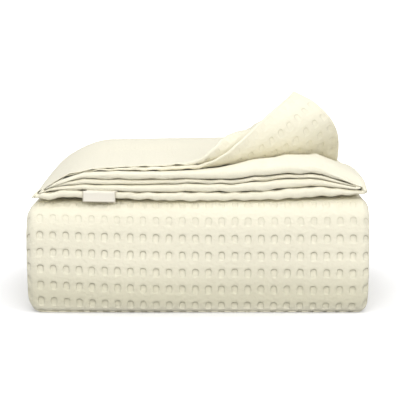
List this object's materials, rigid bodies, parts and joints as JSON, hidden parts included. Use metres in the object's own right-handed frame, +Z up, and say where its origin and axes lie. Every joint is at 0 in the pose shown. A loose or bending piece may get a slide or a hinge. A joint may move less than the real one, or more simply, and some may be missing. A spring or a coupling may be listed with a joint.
{
  "type": "folded waffle weave cotton blanket",
  "caption": "Cream waffle weave cotton blanket folded into a soft stack, with the front corner of its upper leaves turned up and a bare woven side label.",
  "frame": {"origin": "middle of the footprint, level with the flat underside", "axes": "+X along the folded width, to the right seen from the front; the front face looks along -Y; +Z up"},
  "size_m": [0.3992, 0.2962, 0.2517],
  "materials": {
    "cloth": "matte waffle weave cotton, ivory cream",
    "ribbon": "smooth woven satin ribbon, off-white"
  },
  "bodies": {
    "root": {"blanket": "cloth", "label": "ribbon"}
  },
  "joints": []
}
